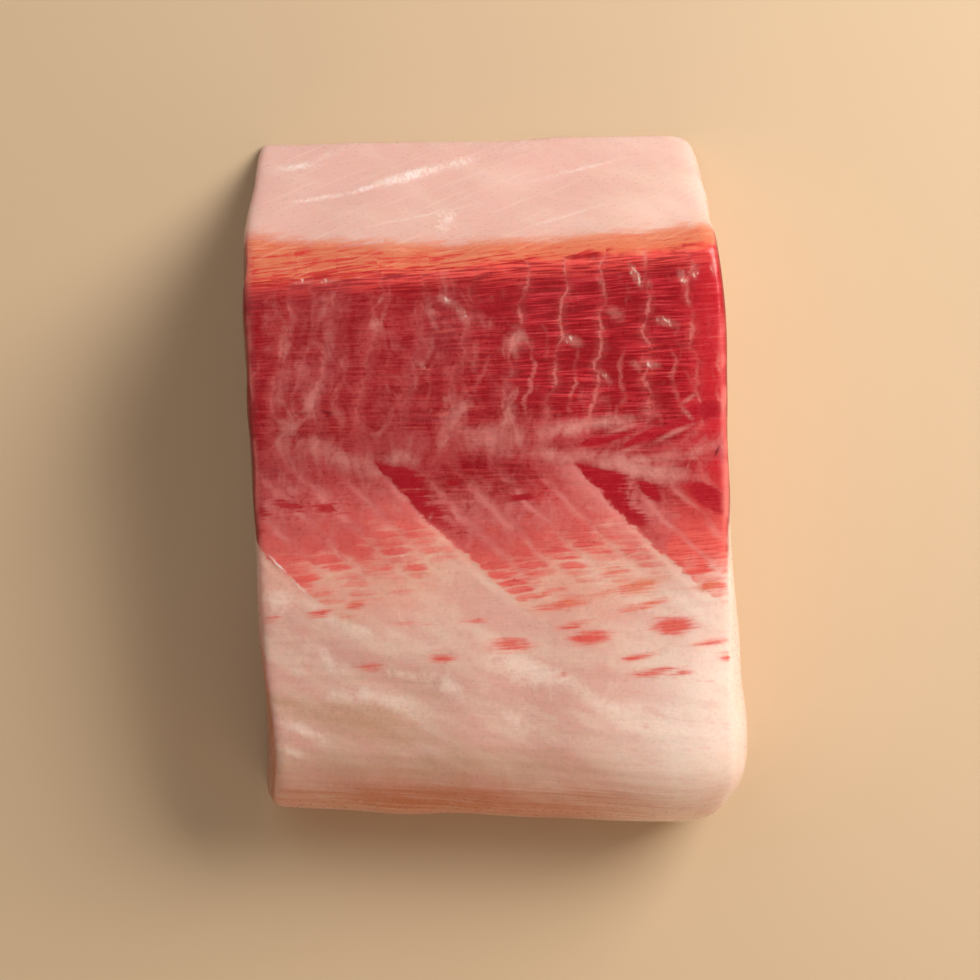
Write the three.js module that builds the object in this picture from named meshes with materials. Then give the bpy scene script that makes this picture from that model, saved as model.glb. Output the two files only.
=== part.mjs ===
// A block of raw yellowtail for sashimi, cut from a skinned fillet.
// Millimetres, +Z up. X runs along the fish, with the muscle fibres, and Y runs across the fillet.
// The block lies on its bone side. Its top is the side that was under the skin, +Y is the long sloped
// cut beside the backbone, -Y is the rolled outer edge of the fillet, and -X and +X are the cross cuts.
import * as THREE from 'three';

// Driving dimensions.
const thickness = 26; // from the base to the crest of the top
const slopedCut = { footLeft: 45.2, footRight: 46.3, ridgeLeft: 25.2, ridgeRight: 30.4 }; // Y of its two edges
const outerEdge = { left: -40.3, middle: -41.3, right: -42.3 }; // Y where the top rolls under
const roll = { radius: 14, undercut: 2.0, undercutHeight: 9 }; // how the top turns down into the outer edge
const innerRounding = { left: 0.6, foot: 5, ridge: 1 }; // corner radii in plan, beside the sloped cut
const rollRounding = { left: 1.6, right: 8.5 }; // corner radii in plan, at the outer edge
const lean = { run: 2.2, from: -22, to: -31 }; // the left cut spreads towards its base near the outer edge
const edgeRadius = 1; // what a knife leaves on soft flesh
const softEdgeRadius = 5; // the right cut's upper edge, towards the outer edge
const slack = 0.22; // how far the cut faces wander from flat

// Each cut face in plan at the top, as [Y, X] from the outer edge to the sloped cut.
const leftCut = [[-42, -26.5], [-31, -26.8], [-23, -28.0], [-8, -28.8], [11, -29.8], [25, -30.3], [46, -29.9]];
const rightCut = [[-42, 31.9], [-31, 31.7], [-20, 30.8], [-4, 29.6], [11, 29.2], [24, 28.8], [33, 27.5], [46, 27.2]];

// The grid that is laid over the block. Within the edge radius it has a few rows of its own.
const cells = { x: 20, y: 32, z: 13 };
const edgeRows = 3;
const size = new THREE.Vector3(60, 80, thickness);

const { lerp, smoothstep } = THREE.MathUtils;

// A smooth curve through [at, value] points, as a function of `at`.
function through(points) {
  const slope = (i) => {
    const before = points[Math.max(i - 1, 0)];
    const after = points[Math.min(i + 1, points.length - 1)];
    return (after[1] - before[1]) / (after[0] - before[0]);
  };
  return (at) => {
    const last = points.length - 2;
    let i = points.findIndex((point) => point[0] > at) - 1;
    if (i < 0) i = at < points[0][0] ? 0 : last;
    const span = points[i + 1][0] - points[i][0];
    const t = THREE.MathUtils.clamp((at - points[i][0]) / span, 0, 1);
    const rise = points[i + 1][1] - points[i][1];
    const first = slope(i) * span;
    const second = slope(i + 1) * span;
    return points[i][1] + t * (first + t * (3 * rise - 2 * first - second + t * (first + second - 2 * rise)));
  };
}

const leftX = through(leftCut);
const rightX = through(rightCut);
const outerY = through([[-1, outerEdge.left], [0, outerEdge.middle], [1, outerEdge.right]]);

// Where the rows of the grid lie along one side of the box: close together at its two ends.
function station(index, count, side) {
  const half = side / 2;
  const fromEnd = Math.min(index, count - index);
  const sign = index < count / 2 ? -1 : 1;
  if (fromEnd <= edgeRows) return sign * (half - edgeRadius * fromEnd / edgeRows);
  return lerp(-half + edgeRadius, half - edgeRadius, (index - edgeRows) / (count - 2 * edgeRows));
}

// How far an edge is set back by a rounded corner of this radius, at a distance from the corner's end.
function cornerInset(distance, radius) {
  const short = Math.max(radius - distance, 0);
  return radius - Math.sqrt(radius ** 2 - short ** 2);
}

// Rounds the box: a point near an edge moves onto an arc of the given radius. The edge that the roll
// takes is left square, so there the point only moves in from the two cross cuts.
function roundEdges(point, radius) {
  const inner = point.clone();
  for (const axis of ['x', 'y', 'z']) {
    const half = size[axis] / 2 - radius;
    inner[axis] = THREE.MathUtils.clamp(point[axis], -half, half);
  }
  const outward = point.clone().sub(inner);
  const rolled = outward.y < 0 && outward.z > 0;
  const across = rolled ? Math.max(-outward.y, outward.z) : Math.hypot(outward.y, outward.z);
  return inner.addScaledVector(outward, radius / Math.hypot(outward.x, across));
}

// Turns the square edge between the top and the outer edge into a quarter round.
function rollOver(point) {
  const inwards = point.y + size.y / 2;
  const down = size.z / 2 - point.z;
  if (inwards >= roll.radius || down >= roll.radius) return point;
  const back = roll.radius - inwards;
  const up = roll.radius - down;
  const scale = Math.max(back, up) / Math.hypot(back, up);
  point.y = -size.y / 2 + roll.radius - back * scale;
  point.z = size.z / 2 - roll.radius + up * scale;
  return point;
}

// Height of the top at a place: a low crown that thins towards the outer edge.
function topHeight(u, y) {
  const crown = thickness - 0.9 * ((y - 12) / 30) ** 2 - 0.6 * (u - 0.15) ** 2;
  const waves = 0.2 * Math.sin(0.21 * y + 2.1 * u) + 0.15 * Math.sin(0.13 * y - 3.4 * u + 1.2);
  const thinning = 2.4 * smoothstep(-y, 4, 34);
  return crown + waves - thinning;
}

// Takes a point of the rounded box to its place on the block. u, v and w run over the box's X, Y and Z.
function place(point) {
  const u = point.x / size.x * 2;
  const v = point.y / size.y + 0.5;
  const w = point.z / size.z + 0.5;
  const foot = lerp(slopedCut.footLeft, slopedCut.footRight, (u + 1) / 2);
  const ridge = lerp(slopedCut.ridgeLeft, slopedCut.ridgeRight, (u + 1) / 2);
  const slopeSag = 0.7 * Math.sin(Math.PI * w) * (1 - 0.5 * u * u);
  const innerY = lerp(foot, ridge, w) - slopeSag;
  const outer = outerY(u) + roll.undercut * (1 - Math.min(w * size.z / roll.undercutHeight, 1)) ** 2;
  const y = lerp(outer, innerY, v);

  const toOuter = y - outer;
  const toInner = innerY - y;
  const spread = lean.run * smoothstep(-y, -lean.from, -lean.to) * (1 - w) ** 1.2;
  const leftWander = slack * Math.sin(0.16 * y + 2.2 * w) + 0.12 * Math.sin(0.37 * y - 3.1 * w);
  const rightWander = slack * Math.sin(0.14 * y - 2.6 * w + 1.0) + 0.12 * Math.sin(0.41 * y + 2.4 * w);
  const belly = 0.5 * Math.sin(Math.PI * w);
  const innerRight = lerp(innerRounding.foot, innerRounding.ridge, Math.sqrt(w));
  const left = leftX(y) - spread + leftWander * (1 - w * w) - belly
    + cornerInset(toOuter, rollRounding.left) + cornerInset(toInner, innerRounding.left);
  const right = rightX(y) + rightWander * (1 - w * w) + belly
    - cornerInset(toOuter, rollRounding.right) - cornerInset(toInner, innerRight);
  return new THREE.Vector3(lerp(left, right, (u + 1) / 2), y, w * topHeight(u, y));
}

// The block: a box whose grid is spaced out, rounded and then laid into the shape of the cut fish.
function fishBlock() {
  const geometry = new THREE.BoxGeometry(size.x, size.y, size.z, cells.x, cells.y, cells.z);
  const corners = geometry.getAttribute('position');
  const point = new THREE.Vector3();
  for (let i = 0; i < corners.count; i += 1) {
    point.fromBufferAttribute(corners, i);
    for (const axis of ['x', 'y', 'z']) {
      const index = Math.round((point[axis] / size[axis] + 0.5) * cells[axis]);
      point[axis] = station(index, cells[axis], size[axis]);
    }
    const soft = smoothstep(point.x, 0, size.x / 2) * smoothstep(-point.y, -10, 25) * smoothstep(point.z, 0, 9);
    const rounded = roundEdges(point, lerp(edgeRadius, softEdgeRadius, soft));
    corners.setXYZ(i, ...place(rollOver(rounded)).toArray());
  }
  geometry.computeBoundingBox();
  const box = geometry.boundingBox;
  const middle = box.getCenter(new THREE.Vector3());
  geometry.translate(-middle.x, -middle.y, -box.min.z);
  geometry.deleteAttribute('uv');
  geometry.computeVertexNormals();
  const flesh = new THREE.MeshStandardMaterial({ color: 0xd9a08c, roughness: 0.35, metalness: 0 });
  const block = new THREE.Mesh(geometry, flesh);
  block.name = 'fish_block';
  return block;
}

const yellowtail = new THREE.Group();
yellowtail.add(fishBlock());

export default yellowtail;
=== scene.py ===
import math

import bpy
import numpy as np
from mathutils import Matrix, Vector


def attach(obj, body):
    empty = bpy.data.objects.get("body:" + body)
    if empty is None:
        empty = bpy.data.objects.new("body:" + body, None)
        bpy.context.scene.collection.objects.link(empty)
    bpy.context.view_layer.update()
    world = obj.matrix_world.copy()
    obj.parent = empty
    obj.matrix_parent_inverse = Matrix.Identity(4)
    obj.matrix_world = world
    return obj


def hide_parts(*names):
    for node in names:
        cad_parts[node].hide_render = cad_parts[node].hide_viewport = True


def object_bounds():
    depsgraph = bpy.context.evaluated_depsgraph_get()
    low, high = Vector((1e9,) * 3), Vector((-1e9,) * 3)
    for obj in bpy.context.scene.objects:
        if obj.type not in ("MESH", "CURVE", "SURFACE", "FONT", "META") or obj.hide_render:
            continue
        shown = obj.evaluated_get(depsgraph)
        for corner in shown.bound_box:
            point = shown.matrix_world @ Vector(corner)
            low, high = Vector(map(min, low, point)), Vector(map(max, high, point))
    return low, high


# A skinned block of raw yellowtail: one piece of pale flesh under a layer of dark red muscle.
# Objects are in metres. Measures of the flesh are in millimetres, in the block's own frame:
# x runs along the fibres, y across the fillet, and the top is the side that was under the skin.

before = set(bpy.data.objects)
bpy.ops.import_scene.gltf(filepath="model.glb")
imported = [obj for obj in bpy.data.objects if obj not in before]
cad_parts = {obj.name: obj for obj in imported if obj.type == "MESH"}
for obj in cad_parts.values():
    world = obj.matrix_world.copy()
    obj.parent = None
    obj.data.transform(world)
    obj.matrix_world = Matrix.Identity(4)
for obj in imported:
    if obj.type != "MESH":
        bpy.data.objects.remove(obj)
cadLow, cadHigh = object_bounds()
print("frame loaded")


def deselectAll():
    if bpy.context.object and bpy.context.object.mode != "OBJECT":
        bpy.ops.object.mode_set(mode="OBJECT")
    bpy.ops.object.select_all(action="DESELECT")


def makeActive(thing):
    deselectAll()
    thing.select_set(True)
    bpy.context.view_layer.objects.active = thing


def applyModifier(thing, name, kind, **values):
    makeActive(thing)
    modifier = thing.modifiers.new(name, kind)
    for key, value in values.items():
        setattr(modifier, key, value)
    bpy.ops.object.modifier_apply(modifier=modifier.name)


# camera, lamps and floor

studio = {
    "cameraHeight": 0.520,  # above the board, looking straight down
    "viewBreadth": 0.12024,  # what the picture spans at the block's crest
    "aside": (-0.00078, -0.00177),  # the block lies a little off the picture's middle
    "sensorWidth": 36.0,
    "nearClip": 0.01,
    "lampsAim": (0, 0, 0.01),
    "floorSize": 12.0,
    "floorColour": (0.66, 0.48, 0.30, 1.0),
    "floorRoughness": 0.6,
    "worldColour": (1.0, 0.97, 0.93, 1.0),
    "worldStrength": 0.16,
}

lamps = {
    "keyLamp": {"place": (0.31, 0.22, 0.30), "size": 0.30, "power": 2.9, "colour": (1.0, 0.97, 0.93)},
    "fillLamp": {"place": (-0.30, 0.25, 0.60), "size": 0.60, "power": 0.7, "colour": (1.0, 0.96, 0.92)},
    "lowLamp": {"place": (0.12, -0.36, 0.14), "size": 0.40, "power": 0.60, "colour": (1.0, 0.72, 0.50)},
}


def aimAt(thing, target):
    thing.rotation_euler = (Vector(target) - thing.location).to_track_quat("-Z", "Y").to_euler()


def makeCamera():
    camera = bpy.data.cameras.new("camera")
    distance = studio["cameraHeight"] - cadHigh.z
    camera.sensor_width = studio["sensorWidth"]
    camera.lens = camera.sensor_width * distance / studio["viewBreadth"]
    camera.clip_start = studio["nearClip"]
    holder = bpy.data.objects.new("camera", camera)
    holder.location = (*studio["aside"], studio["cameraHeight"])
    bpy.context.scene.collection.objects.link(holder)
    bpy.context.scene.camera = holder


def makeLamps():
    for name, facts in lamps.items():
        lamp = bpy.data.lights.new(name, "AREA")
        lamp.size = facts["size"]
        lamp.energy = facts["power"]
        lamp.color = facts["colour"]
        holder = bpy.data.objects.new(name, lamp)
        holder.location = facts["place"]
        aimAt(holder, studio["lampsAim"])
        bpy.context.scene.collection.objects.link(holder)


def makeStudio():
    world = bpy.data.worlds.new("studio")
    world.use_nodes = True
    background = world.node_tree.nodes["Background"]
    background.inputs["Color"].default_value = studio["worldColour"]
    background.inputs["Strength"].default_value = studio["worldStrength"]
    bpy.context.scene.world = world
    bpy.context.scene.view_settings.view_transform = "Standard"
    deselectAll()
    bpy.ops.mesh.primitive_plane_add(size=studio["floorSize"])
    floor = bpy.context.object
    floor.name = "floor"
    paint = bpy.data.materials.new("paleFloor")
    paint.use_nodes = True
    shader = paint.node_tree.nodes["Principled BSDF"]
    shader.inputs["Base Color"].default_value = studio["floorColour"]
    shader.inputs["Roughness"].default_value = studio["floorRoughness"]
    floor.data.materials.append(paint)


makeCamera()
makeLamps()
makeStudio()
print("studio ready")

# the block's shape is the frame's own solid, made round and even

block = {
    "mergeWithin": 1e-6,
    "roundLevels": 2,
    "voxelSize": 0.00042,
    "calmRounds": 3,
    "calmShare": 0.5,
    "ridgeY": (23.4, 28.6),  # the upper edge of the sloped cut, at the left and the right end
    "halfLength": 31.0,
    "crest": 26.1,  # height of the top at its highest, and what it loses from there
    "crestAt": (0.15, 10.0),  # along, as a share of the half length, and across
    "fallAlong": 0.6,
    "fallAcross": 0.9,
    "fallBreadth": 30.0,
    "thinning": 2.4,
}


def makeBlock():
    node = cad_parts["fish_block"]
    flesh = bpy.data.objects.new("yellowtail_block", node.data.copy())
    bpy.context.scene.collection.objects.link(flesh)
    flesh.data.materials.clear()
    makeActive(flesh)
    bpy.ops.object.mode_set(mode="EDIT")
    bpy.ops.mesh.select_all(action="SELECT")
    bpy.ops.mesh.remove_doubles(threshold=block["mergeWithin"])
    bpy.ops.mesh.tris_convert_to_quads()
    bpy.ops.object.mode_set(mode="OBJECT")
    levels = block["roundLevels"]
    applyModifier(flesh, "round", "SUBSURF", levels=levels, render_levels=levels)
    applyModifier(flesh, "even", "REMESH", mode="VOXEL", voxel_size=block["voxelSize"])
    applyModifier(flesh, "calm", "SMOOTH", factor=block["calmShare"], iterations=block["calmRounds"])
    makeActive(flesh)
    bpy.ops.object.shade_smooth()
    print("block shaped:", len(flesh.data.polygons), "faces")
    return flesh


# where the muscle's layers lie: smooth fields over the mesh, kept as attributes

muscle = {
    "bandLength": 24.6,  # one segment of the fish
    "bandTip": (9.2, 1.6),  # where one band's seam meets the lateral line
    "bandLean": (0.90, 0.007),  # how a seam runs back as it goes down: its slope, and its bend
    "septumFrom": 18.2,  # x of a septum at the ridge
    "septumSpacing": 5.4,  # between the thin septa beside the ridge
    "septaPerBand": 5,
    "redAtRidge": 4.3,  # how thick the dark muscle is under the ridge, at its thinnest
    "redThinnestAt": 13.0,
    "redGrowth": 0.0025,  # with the square of the distance from there
    "redEdge": -15.2,  # where the teeth of the dark muscle end
    "redTooth": 6.3,  # how long a tooth is, and how steeply it starts
    "toothRise": 26.0,
    "rowPitch": 1.05,  # between rows of the bundles that the dark muscle ends in
    "bundleSquare": 2.3,  # 2 makes them elliptical, more makes them squarer
    "cutBundles": 1.25,  # cut ends of bundles in a millimetre
    "ringSpacing": 5.2,  # between the septa's rings on the cuts
}

# Marks on the flesh: x, y, length, breadth, degrees from the fibres, strength.
flecks = [  # ends of the dark muscle in the pale flesh
    (11.5, -20.0, 5.3, 1.9, 8, 0.9), (21.9, -18.6, 4.9, 2.1, 2, 1.1), (26.4, -20.6, 4.6, 1.1, 9, 0.75),
    (29.0, -22.4, 4.2, 1.4, 6, 0.7), (17.3, -22.4, 4.4, 1.1, 9, 0.7), (1.8, -20.9, 5.8, 1.8, 0, 0.8),
    (9.6, -18.5, 4.4, 1.1, 14, 0.6), (17.2, -13.7, 7.4, 2.1, 6, 0.75), (18.4, -16.0, 6.8, 1.0, 14, 0.75),
    (8.2, -15.9, 6.2, 1.4, 10, 0.85), (5.4, -14.7, 3.6, 1.0, 19, 0.55), (26.3, -13.6, 3.6, 1.2, 9, 0.9),
    (-28.0, -17.7, 3.4, 0.9, 12, 0.55), (-6.7, -22.5, 3.4, 1.2, 0, 0.85),
    (-15.7, -23.6, 3.4, 1.1, 0, 0.6), (-21.5, -16.9, 3.4, 1.1, 10, 0.8),
    (-17.3, -15.9, 2.6, 1.2, 10, 0.8), (-11.2, -18.2, 5.0, 0.6, 0, 0.45), (-2.4, -17.9, 5.0, 0.8, 6, 0.5),
    (19.5, -24.2, 6.0, 1.1, 9, 0.65), (23.0, -24.4, 3.6, 1.0, 12, 0.55), (8.0, -24.6, 2.6, 0.8, 12, 0.45),
    (-25.3, -15.9, 2.6, 0.6, 8, 0.4), (14.6, -11.9, 4.0, 1.4, 4, 0.6),
]
streaks = [  # bare dark muscle
    (13.2, 4.5, 6.0, 1.0, 13, 1.2), (18.0, 4.5, 6.4, 1.3, 27, 1.25), (22.2, 6.0, 6.2, 1.5, 17, 1.3),
    (25.8, 8.0, 5.0, 2.2, 8, 1.2), (26.6, -2.8, 6.4, 2.6, -32, 1.2), (18.8, -1.9, 4.6, 1.6, -42, 0.95),
    (-25.6, -3.7, 5.0, 2.0, -12, 0.74), (-29.4, -4.4, 4.0, 2.6, -12, 0.8),
    (-20.6, -4.0, 5.4, 2.0, -8, 0.63), (2.9, -2.7, 5.0, 1.2, 8, 0.8), (-5.3, -0.9, 2.6, 1.1, -6, 0.7),
    (17.2, -5.8, 4.4, 1.4, -12, 0.7), (-9.0, -4.4, 4.6, 2.0, -50, 0.6), (-12.4, 12.6, 6.0, 0.8, 4, 0.55),
]
veilsAndSheens = [  # thick white film, and low on the pale flesh whitish streaks of painted sheen
    (-26.2, 15.4, 10.0, 1.6, 88, 0.42), (-20.8, 17.5, 9.5, 1.6, 84, 0.42),
    (-22.5, 9.0, 7.5, 1.8, 70, 0.44), (-5.1, 7.5, 5.5, 3.0, 70, 0.6), (-19.5, 2.2, 10.0, 2.8, -18, 0.65),
    (2.9, 17.0, 3.6, 3.0, 60, 0.8), (-0.8, 4.4, 10.0, 3.2, 0, 0.6), (8.5, 2.2, 8.5, 2.2, -6, 0.62),
    (18.0, 0.9, 12.5, 3.0, -8, 1.1), (-11.8, 2.0, 5.5, 2.4, -10, 0.55), (-8.0, 19.0, 8.0, 0.9, 86, 0.5),
    (-25.5, 5.5, 5.0, 2.4, 60, 0.55), (1.4, 8.0, 6.5, 1.8, 80, 0.6), (-13.4, 20.5, 7.0, 0.9, 80, 0.45),
    (-2.4, 14.0, 6.0, 1.0, 100, 0.45), (12.4, 6.4, 11.0, 2.0, 4, 0.95), (25.0, 3.4, 6.0, 1.6, 22, 0.5),
    (18.6, 2.5, 8.0, 1.2, 8, 0.8), (-20.5, -22.5, 7.0, 2.0, -30, 0.8),
    (-15.6, -27.9, 12.0, 1.8, -11, 0.8), (-24.2, -31.8, 6.0, 1.6, -22, 0.85),
    (-25.4, -34.6, 4.0, 1.2, -11, 0.85), (-5.4, -26.0, 6.0, 2.4, -40, 0.8),
    (4.2, -24.2, 9.0, 3.0, -26, 1.0), (2.2, -30.2, 5.0, 2.0, -35, 0.75),
    (-10.4, -24.6, 7.0, 2.4, -14, 0.65), (14.6, -28.6, 9.0, 2.0, -24, 0.6),
    (-26.4, -15.2, 4.0, 4.0, -45, 0.9), (-17.0, -19.4, 6.0, 1.4, -20, 0.6),
    (22.0, -31.0, 10.0, 3.0, -10, 0.6),
]
browns = [  # browner patches and bands, low on the pale flesh
    (-16.0, -30.6, 22.0, 4.6, -12, 0.95), (-25.8, -27.8, 4.6, 1.2, -4, 1.1),
    (-4.0, -36.0, 36.0, 4.4, -1, 0.9), (-18.5, -18.0, 3.0, 4.0, -40, 0.5),
    (10.6, -31.6, 10.0, 1.0, -2, 0.6), (6.4, -34.2, 14.0, 0.9, -1, 0.7),
    (-10.0, -25.0, 13.0, 4.4, -14, 0.65),
]
seamHighlights = [  # thin white seams, painted brighter where they shine: partly painted highlight
    (-22.6, 35.2, 10.0, 0.65, 8, 0.75), (-16.8, 36.5, 6.5, 0.8, 18, 0.85),
    (-12.6, 38.0, 6.0, 0.9, 17, 0.8), (10.8, 39.2, 14.0, 0.6, 15, 0.5), (9.2, 32.7, 12.5, 0.5, 18, 0.45),
    (-9.0, 32.8, 17.0, 0.5, 13, 0.4), (-26.9, -10.9, 3.6, 0.3, -46, 1.0),
    (-24.1, -13.8, 3.2, 0.3, -46, 0.9),
]
highlightPatches = [  # broader painted highlights
    (-11.0, 38.3, 9.5, 1.5, 16, 1.1), (-4.4, 40.2, 7.0, 1.5, 18, 0.6), (2.0, 42.0, 9.0, 1.4, 14, 0.4),
    (-25.4, 39.6, 6.4, 1.3, 6, 0.8), (-22.0, 41.0, 7.0, 1.4, 24, 0.45), (-6.2, 32.0, 3.6, 1.6, 55, 0.7),
]
foldLines = [  # edges of the film, folded over
    (23.6, 9.3, 3.6, 0.8, 37, 0.6), (23.3, 7.3, 3.2, 0.8, -44, 0.6), (21.7, 5.1, 6.4, 0.75, 22, 0.65),
    (16.4, 3.5, 5.4, 0.75, 20, 0.6), (15.2, 5.6, 6.0, 0.8, 16, 0.55), (11.8, -3.9, 2.0, 0.6, -25, 0.6),
]
nicks = [  # small dark tears
    (-20.9, 7.8, 2.0, 0.34, -12, 0.85), (-20.5, 7.4, 1.5, 0.3, 36, 0.75), (27.1, 3.0, 1.6, 0.42, 68, 0.9),
]
glintSpots = [  # where drops catch the light: painted glints
    (-6.2, 32.0, 4.6, 3.2, 60, 1.2), (-5.0, 40.0, 5.4, 1.8, 17, 1.2), (-5.8, 21.4, 3.4, 0.9, -25, 1.0),
    (-4.2, 19.8, 2.8, 1.1, -60, 1.1), (-15.0, 18.6, 1.0, 2.6, 0, 0.8), (-26.0, 18.1, 1.0, 1.0, 0, 0.8),
    (17.1, 24.6, 3.4, 1.0, -62, 1.2), (12.7, 24.0, 1.6, 0.8, -45, 0.95), (18.8, 23.6, 1.6, 0.8, -60, 0.9),
    (22.9, 24.3, 2.4, 0.9, -70, 1.15), (24.4, 24.8, 2.0, 1.2, 80, 0.9), (20.8, 18.9, 2.6, 1.2, -15, 1.1),
    (14.5, 20.2, 1.8, 1.2, -30, 0.9), (9.3, 16.6, 2.8, 1.3, -20, 1.2), (17.2, 13.5, 1.6, 0.9, -50, 0.95),
    (19.0, 13.7, 2.4, 1.0, -15, 1.1), (13.4, 12.2, 2.4, 0.9, -50, 0.9), (-9.3, 13.6, 2.0, 0.7, -45, 0.9),
    (19.3, -29.0, 2.8, 0.9, -25, 1.0), (18.5, -31.0, 1.2, 0.7, 10, 0.9),
    (-18.1, -27.0, 1.4, 0.7, 10, 0.9), (-16.6, -32.8, 2.0, 0.8, -30, 0.9),
    (-23.6, 23.9, 3.0, 0.9, 5, 0.95), (-20.9, 23.9, 3.0, 0.8, 2, 0.9), (-14.2, 21.6, 1.8, 0.8, 60, 0.8),
    (26.7, 25.6, 0.9, 2.2, 0, 1.0), (-8.1, -5.0, 1.4, 0.6, 60, 0.8),
]


def smoothstep(low, high, value):
    part = np.clip((value - low) / (high - low), 0, 1)
    return part * part * (3 - 2 * part)


def bell(value, centre, half):
    return np.exp(-(((value - centre) / half) ** 2))


def ripple(points, period, seed, octaves=1):
    random = np.random.default_rng(seed)
    waves = np.zeros(len(points))
    for octave in range(octaves):
        for _ in range(9):
            way = random.normal(size=3)
            way /= np.linalg.norm(way)
            wave = 2 * math.pi / (period * random.uniform(0.7, 1.5) * 0.5 ** octave)
            waves += 0.6 ** octave * np.sin(points @ way * wave + random.uniform(0, 2 * math.pi))
    return waves / 3


# height of the top above the base
def topAt(x, y):
    along, across = block["crestAt"]
    fallAcross = block["fallAcross"] * ((y - across) / block["fallBreadth"]) ** 2
    fallAlong = block["fallAlong"] * (x / block["halfLength"] - along) ** 2
    return block["crest"] - fallAcross - fallAlong - block["thinning"] * smoothstep(-2, -32, y)


# y of the sloped cut's upper edge
def ridgeAt(x):
    left, right = block["ridgeY"]
    return left + (right - left) * (x / block["halfLength"] + 1) / 2


# counts the large seams: it is a whole number on each
def bandPhase(x, y):
    tipX, tipY = muscle["bandTip"]
    slope, bend = muscle["bandLean"]
    down = np.maximum(tipY - y, 0)
    return (x - tipX - slope * down - bend * down ** 2) / muscle["bandLength"]


# counts the thin septa, which follow the seams below the lateral line and stand upright above it
def septumPhase(x, y):
    below = bandPhase(x, y) * muscle["septaPerBand"]
    down = smoothstep(26, 4, y)
    lean = (-3.0 + 4.6 * smoothstep(4, 25, x)) * down
    sway = 0.30 * np.sin(1.05 * y + 0.25 * x) + 0.15 * np.sin(2.1 * y - 0.4 * x) + 1.6 * bell(x, 4, 7.5)
    above = (x - muscle["septumFrom"] - lean - sway) / muscle["septumSpacing"] + 1
    share = smoothstep(-1, 7, y)
    return below * (1 - share) + above * share


# a soft ellipse for each mark: 1.6 times its strength in the middle, 0.6 times at its outline
def strokes(x, y, marks):
    mask = np.zeros(len(x))
    for atX, atY, length, breadth, degrees, strength in marks:
        turn = math.radians(degrees)
        along = ((x - atX) * math.cos(turn) + (y - atY) * math.sin(turn)) / length * 2
        across = ((y - atY) * math.cos(turn) - (x - atX) * math.sin(turn)) / breadth * 2
        mask = np.maximum(mask, strength * np.clip(1.6 - np.sqrt(along ** 2 + across ** 2), 0, 1.6))
    return mask


def meshArrays(mesh):
    count = len(mesh.vertices)
    points = np.empty(count * 3)
    mesh.vertices.foreach_get("co", points)
    normals = np.empty(count * 3)
    mesh.vertex_normals.foreach_get("vector", normals)
    return points.reshape(-1, 3) * 1000, normals.reshape(-1, 3)


# the thin film over the dark muscle: on its left half, along the lateral line and below that
def filmOver(x, y, sway):
    edge = 2.5 - 5 * smoothstep(17, 21, y) + 30 * smoothstep(9, 4, y)
    left = smoothstep(edge + 1.5, edge - 2.5, x + 1.2 * sway) * smoothstep(0.5, 4.0, ridgeAt(x) - y)
    middle = 2.5 + 2.2 * bell(x, 0, 8) - 0.8 * smoothstep(8, 14, x)
    line = 1.25 * bell(y, middle + 0.6 * sway, 3.6 - 0.9 * smoothstep(6, 14, x))
    below = 0.80 * smoothstep(2, -4, y)
    right = 0.20 * smoothstep(15.5, 9, y) * smoothstep(0, 8, x) * smoothstep(27, 22, x)
    left *= 0.66 - 0.18 * smoothstep(-15, -7, x)
    film = np.maximum(np.maximum(left, line), np.maximum(below, right))
    bare = smoothstep(19.5, 24, x) * smoothstep(4, 0.5, y) * smoothstep(-17, -12, y)
    return film * (1 - 0.7 * smoothstep(-28.0, -30, x)) * (1 - 0.8 * bare)


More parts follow.
